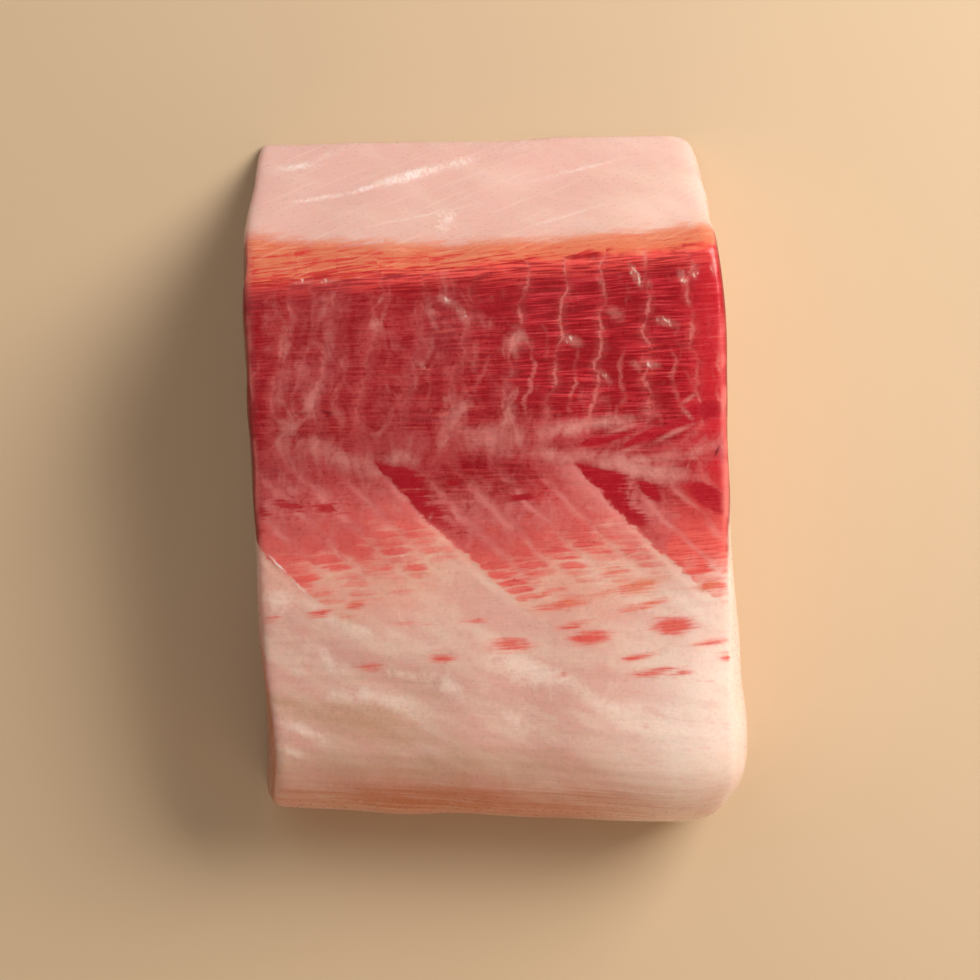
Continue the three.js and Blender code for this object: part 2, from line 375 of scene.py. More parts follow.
def fleshFields(mesh):
    points, normals = meshArrays(mesh)
    x, y, z = points.T
    sway = ripple(points, 9, 3)
    wobble = 0.12 * sway + 0.08 * ripple(points, 3.4, 21)
    pastRidge = y - ridgeAt(x)
    depth = np.maximum(topAt(x, y) - z, 0)
    redHere = muscle["redAtRidge"] + muscle["redGrowth"] * (x - muscle["redThinnestAt"]) ** 2
    redHere = redHere * smoothstep(-22, 22, y) ** 0.6
    cut = smoothstep(0.55, 0.85, np.abs(normals[:, 0]))
    slope = smoothstep(-0.4, 0.5, pastRidge) * (1 - cut)
    skin = (1 - slope) * (1 - cut)
    facingUp = smoothstep(0.1, 0.5, normals[:, 2])
    # a lighter red band along the right and left edges, where light comes through the thin flesh: painted
    # glow
    rightEdgeGlow = smoothstep(0.06, 0.55, normals[:, 0]) * facingUp * smoothstep(21, 15, y)
    leftEdgeGlow = smoothstep(0.10, 0.60, -normals[:, 0]) * facingUp * (1 - cut)
    # creamier towards the right end, the lower right and the right of the slope, where the light falls most:
    # painted light
    pallor = smoothstep(12, 29, x) * smoothstep(0, -14, y)
    pallor = pallor + 0.7 * smoothstep(4, 26, x) * smoothstep(-20, -32, y)
    pallor = pallor * (1 - slope) + 0.5 * slope * smoothstep(6, 28, x)
    tan = 0.35 * smoothstep(10, -20, x - 0.2 * y) * smoothstep(-16, -34, y)
    tan = tan + strokes(x + 0.6 * sway, y + 0.3 * sway, browns) * (1 - slope) * 0.75
    tilted = np.stack([x * 0.25, (y + 0.45 * x) * 1.0, z * 0.5], axis=1)
    fibreRise = 0.07 * smoothstep(4, 24, y) + 0.10 * bell(y, -14, 11) - 0.10 * smoothstep(-18, -34, y)
    across = y - fibreRise * x + 0.10 * sway - 0.8 * depth * smoothstep(-27, -36, y)
    onSlope = pastRidge * 0.8 - 0.03 * x + ridgeAt(0 * x)
    across = across * (1 - slope) + onSlope * slope
    upper = np.hypot(y - 21, 1.25 * (z - 2))
    lower = np.hypot(y + 19, 1.25 * (z - 4))
    return {
        "across": across,
        "septum": septumPhase(x + wobble, y),
        "roll": smoothstep(0.40, 0.92, -normals[:, 1]) * (1 - cut),
        "onSlope": slope,
        "onCut": cut,
        "depth": depth,
        "band": bandPhase(x + wobble, y),
        "cloud": 0.5 + 0.25 * ripple(points, 7, 11, octaves=3),
        "sheen": 0.5 + 0.25 * ripple(tilted, 5, 13, octaves=3),
        "redRoom": redHere - depth,
        "pastRidge": pastRidge,
        "ring": np.minimum(upper, lower) + 0.8 * ripple(points, 16, 17),
        "film": filmOver(x, y, sway),
        "veil": strokes(x + 0.5 * sway, y + 0.4 * sway, veilsAndSheens) * skin,
        "rim": np.maximum(rightEdgeGlow, leftEdgeGlow) * smoothstep(-16, -5, y),
        "fleck": strokes(x, y, flecks) * skin,
        "fold": strokes(x + 0.2 * sway, y + 0.3 * sway, foldLines) * skin,
        "patch": strokes(x, y + 0.15 * sway, highlightPatches) * (1 - cut),
        "streak": strokes(x, y, streaks) * skin,
        "wetSpot": strokes(x, y, glintSpots) * (1 - cut),
        "pallor": pallor,
        "tan": tan,
    }


def inThrees(names):
    return [names[start:start + 3] for start in range(0, len(names), 3)]


# three fields share a vector attribute, which renders faster than three of their own
def keepFields(mesh, fields):
    for trio in inThrees(list(fields)):
        layer = mesh.attributes.new("_".join(trio), "FLOAT_VECTOR", "POINT")
        values = np.zeros((len(mesh.vertices), 3), dtype=np.float32)
        for column, name in enumerate(trio):
            values[:, column] = fields[name]
        layer.data.foreach_set("vector", values.ravel())


# how far the flesh rises and sinks, in millimetres
relief = {
    "swell": 0.12,  # up and down
    "seam": 0.10,  # down
    "lip": 0.08,  # up, on the left of each seam
    "septum": 0.06,  # down
    "fibre": 0.018,  # up and down
    "glossySeam": 0.12,  # up
    "ridgeBreadth": 0.9,  # at least, so that the mesh can follow it
}


# 1 on each whole number of the phase, 0 from halfWidth away
def lineNear(phase, halfWidth):
    off = np.abs((phase + 0.5) % 1 - 0.5)
    return np.clip(1 - off / halfWidth, 0, 1)


def reliefOf(mesh, fields):
    points, normals = meshArrays(mesh)
    x, y, z = points.T
    aboveBase = 1 - smoothstep(-0.5, -0.85, normals[:, 2])
    skin = (1 - fields["onCut"]) * (1 - fields["onSlope"]) * aboveBase
    lower = smoothstep(4, 0, y) * smoothstep(-21, -12, y)
    seam = lineNear(fields["band"] + 0.01, 0.026) * lower
    lip = np.clip(1 - (1 - fields["band"] % 1) * 12, 0, 1) * lower
    septum = lineNear(fields["septum"], 0.10) * smoothstep(-16, -6, y)
    fibre = ripple(np.stack([x * 0.08, fields["across"], z * 0.1], axis=1), 1.6, 5)
    height = relief["swell"] * ripple(points, 11, 2) - relief["seam"] * seam * skin
    height += relief["lip"] * lip * skin - relief["septum"] * septum * skin
    height += relief["fibre"] * fibre * (1 - fields["onCut"])
    ridges = [(*mark[:3], max(mark[3], relief["ridgeBreadth"]), *mark[4:])
              for mark in seamHighlights + highlightPatches]
    height += relief["glossySeam"] * np.clip(strokes(x, y, ridges) - 0.6, 0, 1) * (1 - fields["onCut"])
    return height * aboveBase


# a weight can't be negative, so what rises and what sinks are two displacements
def raiseBy(thing, height):
    for name, sign in (("raised", 1), ("sunk", -1)):
        amount = np.clip(sign * height, 0, None)
        most = float(amount.max())
        group = thing.vertex_groups.new(name=name)
        for index, weight in enumerate((amount / most).tolist()):
            if weight > 0.001:
                group.add([index], weight, "REPLACE")
        applyModifier(thing, name, "DISPLACE", vertex_group=name, mid_level=0.0, strength=sign * most / 1000)
    thing.vertex_groups.clear()


# the flesh's colours, how much of each layer shows, and how it shines
look = {
    "palePink": (0.74, 0.41, 0.345),
    "paleCream": (0.78, 0.52, 0.42),
    "creamWhite": (0.91, 0.71, 0.61),
    "slopePink": (0.755, 0.45, 0.405),
    "tan": (0.57, 0.33, 0.215),
    # painted shade and warm bounce light on the rolled outer edge
    "rollShadeBrown": (0.58, 0.170, 0.065),
    "deepRed": (0.29, 0.002, 0.007),
    "thinRed": (0.83, 0.145, 0.116),
    "paleOrange": (0.80, 0.33, 0.22),
    "cutRed": (0.64, 0.026, 0.030),
    "cutOrange": (0.69, 0.175, 0.090),
    "striation": (0.57, 0.022, 0.034),
    "film": (0.45, 0.057, 0.058),
    "veil": (0.68, 0.29, 0.25),
    "lowFilm": (0.61, 0.148, 0.142),
    "thinLine": (0.63, 0.048, 0.048),
    # painted light: a brighter red for the right end of the dark muscle
    "litEndRed": (0.72, 0.022, 0.034),
    "pinkLine": (0.74, 0.13, 0.14),
    "septum": (0.67, 0.19, 0.165),
    # painted glow along the edges
    "edgeGlowRed": (0.84, 0.24, 0.20),
    "rollLine": (0.52, 0.150, 0.070),
    "orangeFleck": (0.76, 0.20, 0.11),
    "streak": (0.40, 0.004, 0.014),
    "ridgeRed": (0.80, 0.085, 0.070),
    "farBundle": (0.80, 0.235, 0.145),
    "lowSeptum": (0.74, 0.27, 0.24),
    # painted light near the top of the right-hand cut
    "litEdgeFlesh": (0.90, 0.67, 0.56),
    "cutDark": (0.25, 0.010, 0.013),
    # painted shade on the left-hand cut
    "leftCut": (0.56, 0.175, 0.085),
    "nick": (0.16, 0.004, 0.006),
    "cutFlesh": (0.80, 0.52, 0.44),
    "fleck": (0.74, 0.10, 0.078),
    "bundleLine": (0.62, 0.30, 0.24),
    # white seams and rings, and the painted highlights
    "whiteSeamAndHighlight": (0.95, 0.82, 0.78),
    "filmShare": 0.75,
    "veilShare": 0.82,
    "streakShare": 0.88,
    "bundleShare": 0.16,
    "ringShare": 0.36,
    "highlightShare": 0.80,
    "glintShare": 0.62,
    "roughness": 0.30,
    "specular": 0.28,
    "subsurface": 0.4,
    "subsurfaceRadius": (1.0, 0.28, 0.14),
    "subsurfaceScale": 0.003,
    "coat": 0.18,
    "coatRoughness": 0.10,
    "bumpStrength": 0.4,
    "bumpDistance": 0.0002,
}


def addNode(tree, kind, **settings):
    node = tree.nodes.new(kind)
    for key, value in settings.items():
        setattr(node, key, value)
    return node


def feed(tree, socket, value):
    if isinstance(value, bpy.types.NodeSocket):
        tree.links.new(value, socket)
    elif isinstance(value, tuple) and len(value) == 3 and len(socket.default_value) == 4:
        socket.default_value = (*value, 1.0)
    else:
        socket.default_value = value


def feedAll(tree, node, values):
    for name, value in values.items():
        feed(tree, node.inputs[name], value)


def maths(tree, operation, *values, clamp=False):
    node = addNode(tree, "ShaderNodeMath", operation=operation, use_clamp=clamp)
    for socket, value in zip(node.inputs, values):
        feed(tree, socket, value)
    return node.outputs[0]


def product(tree, first, *others):
    for other in others:
        first = maths(tree, "MULTIPLY", first, other)
    return first


def total(tree, first, *others):
    for other in others:
        first = maths(tree, "ADD", first, other)
    return first


def without(tree, mask):
    return maths(tree, "SUBTRACT", 1.0, mask)


def lessened(tree, mask, share):
    return maths(tree, "MULTIPLY_ADD", mask, -share, 1.0)


# a noise around nothing, as strong as is asked
def centred(tree, value, strength):
    return maths(tree, "MULTIPLY_ADD", value, strength, -strength / 2)


# a noise that keeps its middle and loses a share of its strength
def calmed(tree, value, share):
    return maths(tree, "MULTIPLY_ADD", value, share, (1 - share) / 2)


# a smooth step from low to high, which may run downwards, between the values first and last
def ramp(tree, value, low, high, first=0.0, last=1.0):
    node = addNode(tree, "ShaderNodeMapRange", interpolation_type="SMOOTHSTEP")
    feedAll(tree, node, {"Value": value, "From Min": low, "From Max": high, "To Min": first, "To Max": last})
    return node.outputs[0]


def split(tree, vector):
    node = addNode(tree, "ShaderNodeSeparateXYZ")
    feed(tree, node.inputs[0], vector)
    return list(node.outputs)


def together(tree, x, y, z=0.0):
    node = addNode(tree, "ShaderNodeCombineXYZ")
    for socket, value in zip(node.inputs, (x, y, z)):
        feed(tree, socket, value)
    return node.outputs[0]


def scaled(tree, colour, factor):
    node = addNode(tree, "ShaderNodeVectorMath", operation="SCALE")
    feed(tree, node.inputs[0], colour)
    feed(tree, node.inputs["Scale"], factor)
    return node.outputs[0]


def noise(tree, vector, scale=1.0, detail=2.0, roughness=0.5, distortion=0.0):
    node = addNode(tree, "ShaderNodeTexNoise")
    feedAll(tree, node, {"Vector": vector, "Scale": scale, "Detail": detail, "Roughness": roughness})
    feed(tree, node.inputs["Distortion"], distortion)
    return node.outputs["Fac"]


def mixed(tree, factor, first, second):
    node = addNode(tree, "ShaderNodeMix", data_type="RGBA")
    feed(tree, node.inputs["Factor"], factor)
    feed(tree, node.inputs[6], first)
    feed(tree, node.inputs[7], second)
    return node.outputs[2]


def mixedValue(tree, factor, first, second):
    node = addNode(tree, "ShaderNodeMix", data_type="FLOAT")
    feed(tree, node.inputs["Factor"], factor)
    feed(tree, node.inputs[2], first)
    feed(tree, node.inputs[3], second)
    return node.outputs[0]


# a point whose noise is drawn out along the fibres
def stretched(tree, where, alongScale, acrossScale, shift=0.0):
    along = maths(tree, "MULTIPLY", where["x"], alongScale)
    across = maths(tree, "MULTIPLY", where["across"], acrossScale)
    return together(tree, along, across, shift)


# how far a repeating phase is from its line: on whole numbers for a shift of 0.5, halfway between for 0
def lineOff(tree, phase, shift):
    part = maths(tree, "FRACT", maths(tree, "ADD", phase, shift))
    return maths(tree, "ABSOLUTE", maths(tree, "SUBTRACT", part, 0.5))


def readFields(tree, names):
    point = scaled(tree, addNode(tree, "ShaderNodeTexCoord").outputs["Object"], 1000.0)
    where = {"point": point, **dict(zip("xyz", split(tree, point)))}
    for trio in inThrees(names):
        layer = addNode(tree, "ShaderNodeAttribute", attribute_name="_".join(trio))
        where.update(zip(trio, split(tree, layer.outputs["Vector"])))
    where["cell"] = maths(tree, "FLOOR", where["septum"])
    where["onSkin"] = without(tree, maths(tree, "ADD", where["onCut"], where["onSlope"], clamp=True))
    return where


def addNoises(tree, where):
    ownShift = product(tree, where["cell"], 0.35)
    where["fray"] = noise(tree, stretched(tree, where, 0.32, 1.1, where["cell"]), roughness=0.6)
    where["fine"] = noise(tree, stretched(tree, where, 0.20, 4.2, ownShift), roughness=0.6)
    where["grain"] = noise(tree, where["point"], scale=1.9, detail=1.0, roughness=0.6)
    where["scallop"] = noise(tree, where["point"], scale=0.9, detail=1.0)
    where["wander"] = noise(tree, where["point"], scale=0.38, detail=0.0)
    flowing = together(tree, product(tree, where["x"], 0.42), product(tree, where["y"], 0.25),
                       product(tree, where["z"], 0.3))
    where["wisp"] = noise(tree, flowing, detail=2.0, roughness=0.68, distortion=0.7)
    crossing = maths(tree, "MULTIPLY_ADD", where["x"], -0.27, where["across"])
    crossing = together(tree, product(tree, where["x"], 0.10), product(tree, crossing, 2.4), 5.0)
    where["crossed"] = noise(tree, crossing, detail=1.0)
    # the cuts show the fibres end on, so the noises that are drawn out along them give way there
    where["soft"] = mixedValue(tree, where["onCut"], where["fray"], calmed(tree, where["scallop"], 0.5))
    where["hair"] = mixedValue(tree, where["onCut"], where["fine"], calmed(tree, where["cloud"], 0.35))


# how far a place is to the right of its seam, and above the teeth that the dark muscle ends in
def addEdges(tree, where):
    uneven = total(tree, centred(tree, where["fray"], 0.045), centred(tree, where["grain"], 0.016),
                   centred(tree, where["scallop"], 0.06))
    fraction = maths(tree, "FRACT", maths(tree, "ADD", where["band"], uneven))
    where["rightOfSeam"] = maths(tree, "MULTIPLY", fraction, muscle["bandLength"])
    tooth = maths(tree, "MAXIMUM", fraction, lessened(tree, fraction, muscle["toothRise"]))
    above = maths(tree, "SUBTRACT", where["y"], muscle["redEdge"])
    above = maths(tree, "SUBTRACT", above, maths(tree, "MULTIPLY", tooth, muscle["redTooth"]))
    where["aboveEdge"] = total(tree, above, centred(tree, where["cloud"], 3.0))


# thin marks are drawn here, since the mesh is too coarse for them: each is an ellipse in plan
def thinStrokes(tree, where, marks):
    sideways = maths(tree, "ADD", where["y"], centred(tree, where["scallop"], 0.6))
    crooked = together(tree, where["x"], sideways, where["z"])
    mask = 0.0
    for atX, atY, length, breadth, degrees, strength in marks:
        mapping = addNode(tree, "ShaderNodeMapping", vector_type="TEXTURE")
        feedAll(tree, mapping, {
            "Vector": crooked,
            "Location": (atX, atY, 0.0),
            "Rotation": (0.0, 0.0, math.radians(degrees)),
            "Scale": (length / 2, breadth / 2, 1000.0),
        })
        distance = addNode(tree, "ShaderNodeVectorMath", operation="LENGTH")
        feed(tree, distance.inputs[0], mapping.outputs[0])
        stroke = ramp(tree, distance.outputs["Value"], 1.3, 0.1, 0.0, strength)
        mask = maths(tree, "MAXIMUM", mask, stroke)
    return mask


# the bundles lie in rows along the fibres, cut into cells by the septa; each has a lot of its own
def bundleMask(tree, where):
    rows = maths(tree, "DIVIDE", where["across"], muscle["rowPitch"])
    rows = total(tree, rows, product(tree, where["cell"], 0.37), centred(tree, where["fray"], 1.1),
                 centred(tree, where["grain"], 0.14))
    lot = addNode(tree, "ShaderNodeTexWhiteNoise", noise_dimensions="2D")
    feed(tree, lot.inputs["Vector"], together(tree, where["cell"], maths(tree, "FLOOR", rows)))
    offRow = maths(tree, "POWER", product(tree, lineOff(tree, rows, 0.0), 2.0), muscle["bundleSquare"])
    inCell = total(tree, where["septum"], centred(tree, where["fray"], 0.30))
    offCell = maths(tree, "POWER", product(tree, lineOff(tree, inCell, 0.0), 2.0), muscle["bundleSquare"])
    body = ramp(tree, maths(tree, "ADD", offRow, offCell), 1.10, 0.05)
    return product(tree, body, without(tree, where["onCut"])), lot.outputs["Value"]


# where the dark muscle shows: above its teeth, and on the cuts only as deep as its layer goes
def redMask(tree, where):
    body, lot = bundleMask(tree, where)
    uneven = product(tree, centred(tree, lot, 3.8), body)
    level = total(tree, where["aboveEdge"], uneven, centred(tree, where["soft"], 5.0),
                  centred(tree, where["hair"], 3.0), maths(tree, "MULTIPLY_ADD", body, 1.7, -1.4))
    depth = maths(tree, "MULTIPLY", where["depth"], 2.0)
    inside = maths(tree, "SUBTRACT", level, maths(tree, "MULTIPLY", depth, where["onCut"]))
    ragged = total(tree, centred(tree, where["soft"], 3.0), centred(tree, where["hair"], 3.6))
    inLayer = ramp(tree, maths(tree, "ADD", where["redRoom"], ragged), -1.5, 1.5)
    return maths(tree, "MINIMUM", ramp(tree, inside, -2.5, 3.6), inLayer)


def paleMuscle(tree, where):
    share = total(tree, product(tree, where["sheen"], 0.45), product(tree, where["wisp"], 0.55))
    colour = mixed(tree, ramp(tree, share, 0.30, 0.72), look["palePink"], look["paleCream"])
    colour = mixed(tree, product(tree, where["onSlope"], 0.85), colour, look["slopePink"])
    browned = total(tree, where["tan"], centred(tree, where["wisp"], 1.1), centred(tree, where["fine"], 0.5))
    browned = product(tree, ramp(tree, browned, 0.15, 1.25), ramp(tree, where["tan"], 0.0, 0.25), 0.85)
    colour = mixed(tree, browned, colour, look["tan"])
    blush = product(tree, ramp(tree, where["aboveEdge"], -8.0, 0.0, 0.0, 0.40), where["onSkin"])
    colour = mixed(tree, blush, colour, look["paleOrange"])
    # creamier where the light falls most: painted light
    pallor = total(tree, where["pallor"], centred(tree, where["sheen"], 0.4))
    colour = mixed(tree, maths(tree, "MULTIPLY", pallor, 0.8, clamp=True), colour, look["creamWhite"])
    # whitish wisps: the film, and painted sheen low on the pale flesh
    wisps = total(tree, where["veil"], centred(tree, where["wisp"], 1.8), centred(tree, where["grain"], 0.5))
    wisps = product(tree, ramp(tree, wisps, 0.1, 1.5), where["onSkin"], 0.75)
    colour = mixed(tree, wisps, colour, look["creamWhite"])
    colour = mixed(tree, ramp(tree, where["fine"], 0.50, 0.72, 0.0, 0.06), colour, look["creamWhite"])
    drawn = product(tree, ramp(tree, where["crossed"], 0.56, 0.76, 0.0, 0.30), where["onSlope"])
    colour = mixed(tree, drawn, colour, look["creamWhite"])
    pinkLines = product(tree, ramp(tree, where["fray"], 0.52, 0.70, 0.0, 0.22), where["onSkin"])
    colour = mixed(tree, pinkLines, colour, look["palePink"])
    colour = rolledEdgeShade(tree, where, colour)
    return mixed(tree, product(tree, where["onCut"], 0.9), colour, paleCut(tree, where))


# brown streaks where the top turns down into the outer edge: painted shade and painted warm bounce light,
# with darker lines on them
def rolledEdgeShade(tree, where, colour):
    lined = noise(tree, stretched(tree, where, 0.06, 1.9, 3.0), detail=2.0, roughness=0.6)
    middle = product(tree, where["roll"], ramp(tree, where["z"], 7.5, 15.0, 0.10, 1.0),
                     ramp(tree, where["x"], 30.0, -2.0, 0.15, 1.0),
                     ramp(tree, where["x"], -33.0, -12.0, 0.25, 1.0))
    streaky = ramp(tree, total(tree, lined, centred(tree, where["wisp"], 0.5)), 0.36, 0.62, 0.55, 1.0)
    colour = mixed(tree, product(tree, middle, streaky), colour, look["rollShadeBrown"])
    lined = product(tree, ramp(tree, lined, 0.44, 0.66), ramp(tree, where["roll"], 0.1, 0.9), 0.35)
    lined = product(tree, lined, ramp(tree, where["x"], 30.0, 12.0, 0.2, 1.0))
    return mixed(tree, lined, colour, look["rollLine"])


def paleCut(tree, where):
    # painted shade: lower down, the left-hand cut, which faces away from the light, turns brown-red
    shadedLeft = product(tree, ramp(tree, where["x"], -5.0, -20.0), ramp(tree, where["y"], -8.0, -30.0))
    # painted light: near its top, the right-hand cut, which faces the light, turns creamy
    litNearTop = product(tree, ramp(tree, where["depth"], 14.0, 1.5), ramp(tree, where["x"], 0.0, 10.0))
    return mixed(tree, litNearTop, mixed(tree, shadedLeft, look["cutFlesh"], look["leftCut"]), look["litEdgeFlesh"])


# the dark muscle where the sloped cut has thinned it
def slopeMuscle(tree, where):
    lively = ramp(tree, where["x"], 16.0, -14.0, 7.0, 11.0)
    redder = ramp(tree, where["x"], 10.0, -26.0, 0.5, -1.0)
    streaky = total(tree, product(tree, centred(tree, where["fine"], 1.0), lively),
                    centred(tree, where["fray"], 5.5), product(tree, where["depth"], 0.32), redder)
    colour = mixed(tree, ramp(tree, streaky, -1.2, 0.9), look["cutRed"], look["cutOrange"])
    colour = mixed(tree, ramp(tree, streaky, 1.2, 4.0, 0.0, 0.75), colour, look["paleOrange"])
    return mixed(tree, ramp(tree, where["crossed"], 0.58, 0.74, 0.0, 0.50), colour, look["paleOrange"])


def darkMuscle(tree, where):
    thinner = product(tree, ramp(tree, where["x"], 18.0, 24.0, 0.0, 4.5), ramp(tree, where["y"], -4.0, -9.0))
    thick = ramp(tree, maths(tree, "SUBTRACT", where["aboveEdge"], thinner), 0.5, 13.5)
    near = mixed(tree, ramp(tree, where["aboveEdge"], -4.5, 0.5), look["farBundle"], look["thinRed"])
    colour = mixed(tree, thick, near, look["deepRed"])
    # brighter red towards the right end, where the light falls most: painted light
    litEnd = total(tree, where["x"], centred(tree, where["fray"], 6.0))
    litEnd = product(tree, ramp(tree, litEnd, 21.0, 27.0, 0.0, 0.60), thick)
    colour = mixed(tree, litEnd, colour, look["litEndRed"])
    lineColour = mixed(tree, thick, look["thinLine"], look["striation"])
    patchy = product(tree, ramp(tree, where["cloud"], 0.2, 0.7, 0.5, 1.0),
                     ramp(tree, where["x"], -8.0, 8.0, 0.45, 0.95))
    lined = product(tree, ramp(tree, where["fine"], 0.43, 0.63, 0.0, 0.9), patchy)
    colour = mixed(tree, lined, colour, lineColour)
    threads = product(tree, ramp(tree, where["fine"], 0.58, 0.72, 0.0, 0.24),
                      ramp(tree, where["x"], -4.0, 8.0, 0.1, 1.0))
    colour = mixed(tree, threads, colour, look["pinkLine"])
    ridge = product(tree, ramp(tree, where["pastRidge"], -3.2, -0.3),
                    ramp(tree, where["fine"], 0.36, 0.60, 0.15, 1.0),
                    ramp(tree, where["x"], -30.0, -5.0, 0.40, 1.0))
    colour = mixed(tree, ridge, colour, look["ridgeRed"])
    colour = mixed(tree, product(tree, where["onCut"], 0.85), colour, look["cutDark"])
    past = total(tree, where["pastRidge"], centred(tree, where["fine"], 3.2),
                 centred(tree, where["fray"], 1.6))
    past = product(tree, ramp(tree, past, -0.5, 0.9), without(tree, where["onCut"]))
    return mixed(tree, past, colour, slopeMuscle(tree, where))


# a dark spear on the right of each seam, pointed at the lateral line
def seamWedges(tree, where):
    below = maths(tree, "SUBTRACT", muscle["bandTip"][1], where["y"])
    breadth = ramp(tree, below, 1.5, 4.5, 4.6, 2.6)
    reach = total(tree, maths(tree, "SUBTRACT", where["rightOfSeam"], breadth),
                  centred(tree, where["fray"], 2.4), centred(tree, where["fine"], 4.5))
    spear = product(tree, ramp(tree, reach, 0.8, -0.9), ramp(tree, where["rightOfSeam"], 0.0, 0.45))
    underTip = maths(tree, "MULTIPLY_ADD", where["rightOfSeam"], -0.26, below)
    underTip = total(tree, underTip, centred(tree, where["fine"], 0.8))
    spear = product(tree, spear, ramp(tree, underTip, -0.4, 0.3))
    fading = total(tree, below, centred(tree, where["fray"], 4.0), centred(tree, where["wander"], 5.0))
    return product(tree, spear, ramp(tree, fading, 10.5, 5.0), where["onSkin"])


# a pale band on the left of each seam
def paleBands(tree, where):
    leftOf = maths(tree, "SUBTRACT", muscle["bandLength"], where["rightOfSeam"])
    reach = total(tree, leftOf, centred(tree, where["wisp"], 7.0), centred(tree, where["fray"], 2.5))
    return product(tree, ramp(tree, reach, 4.8, 0.3), ramp(tree, where["y"], 3.0, 0.0), where["onSkin"])


# the thin septa: crisp above the lateral line, wavy and faint below it, and a haze beside them
def septumLines(tree, where):
    phase = total(tree, where["septum"], centred(tree, where["wisp"], 0.10),
                  centred(tree, where["scallop"], 0.12), centred(tree, where["fine"], 0.13))
    main = lineOff(tree, phase, 0.5)
    halfway = lineOff(tree, phase, 0.0)
    toRight = maths(tree, "ADD", ramp(tree, where["x"], -6.0, 5.0, 0.25, 1.0),
                    ramp(tree, where["x"], -14.0, -20.0, 0.0, 0.3))
    broken = product(tree, ramp(tree, where["wander"], 0.34, 0.58, 0.25, 1.0),
                     ramp(tree, where["grain"], 0.3, 0.6, 0.6, 1.0))
    crisp = product(tree, ramp(tree, main, 0.080, 0.01), toRight, ramp(tree, where["y"], 4.0, 8.0), broken)
    crisp = product(tree, crisp, 0.70)
    second = product(tree, ramp(tree, halfway, 0.08, 0.0), toRight, ramp(tree, where["y"], 6.5, 9.5))
    second = product(tree, second, ramp(tree, where["y"], 16.5, 13.0), broken, 0.55)
    beside = product(tree, ramp(tree, main, 0.24, 0.03), toRight, broken, 0.16)
    lines = maths(tree, "MAXIMUM", maths(tree, "MAXIMUM", crisp, second), beside)
    waving = lineOff(tree, maths(tree, "ADD", phase, centred(tree, where["wander"], 0.45)), 0.5)
    low = product(tree, ramp(tree, waving, 0.20, 0.0), ramp(tree, where["y"], 1.0, -4.0),
                  ramp(tree, where["wander"], 0.32, 0.58, 0.12, 0.43), where["onSkin"])
    return product(tree, lines, where["onSkin"]), low, ramp(tree, main, 0.30, 0.03)


def filmMask(tree, where, hazy):
    density = total(tree, product(tree, where["film"], 0.75), centred(tree, where["wisp"], 1.5),
                    centred(tree, where["grain"], 0.5), centred(tree, where["fine"], 0.9),
                    product(tree, hazy, 0.25))
    thin = product(tree, ramp(tree, density, 0.0, 0.95), ramp(tree, where["film"], 0.0, 0.4), where["onSkin"])
    thin = product(tree, thin, ramp(tree, where["aboveEdge"], 1.0, 9.0, 0.25, 1.0))
    cloudy = total(tree, where["veil"], centred(tree, where["wisp"], 2.2),
                   centred(tree, where["grain"], 0.35), product(tree, where["film"], 0.25))
    return thin, product(tree, ramp(tree, cloudy, 0.10, 1.9), where["onSkin"])


def fleckMask(tree, where, name, frayed, lined, soft):
    level = total(tree, where[name], centred(tree, where["fray"], frayed),
                  centred(tree, where["fine"], lined))
    return ramp(tree, level, 0.70 - soft, 0.70 + soft)


# painted glints: short bright dashes where the moist surface catches the light
def glints(tree, where):
    acrossDash = maths(tree, "MULTIPLY_ADD", where["y"], 0.35, where["x"])
    alongDash = maths(tree, "MULTIPLY_ADD", where["x"], -0.35, where["y"])
    slanted = together(tree, product(tree, acrossDash, 2.1), product(tree, alongDash, 0.9), where["z"])
    dashes = noise(tree, slanted, detail=1.0)
    place = total(tree, where["wetSpot"], centred(tree, where["grain"], 1.0))
    return product(tree, ramp(tree, dashes, 0.54, 0.70), ramp(tree, place, 0.5, 1.4)), dashes


# the cut ends of the fibre bundles, and the septa as rings around the middle of each half
def cutFace(tree, where):
    bundles = addNode(tree, "ShaderNodeTexVoronoi", feature="DISTANCE_TO_EDGE", voronoi_dimensions="2D")
    feedAll(tree, bundles, {"Vector": together(tree, where["y"], where["z"]), "Scale": muscle["cutBundles"]})
    edges = ramp(tree, bundles.outputs["Distance"], 0.12, 0.0)
    rings = maths(tree, "DIVIDE", where["ring"], muscle["ringSpacing"])
    arcs = ramp(tree, lineOff(tree, rings, 0.0), 0.13, 0.0)
    arcs = product(tree, arcs, ramp(tree, where["ring"], 3.5, 7.0))
    return edges, product(tree, arcs, ramp(tree, where["cloud"], 0.2, 0.75, 0.2, 1.0))


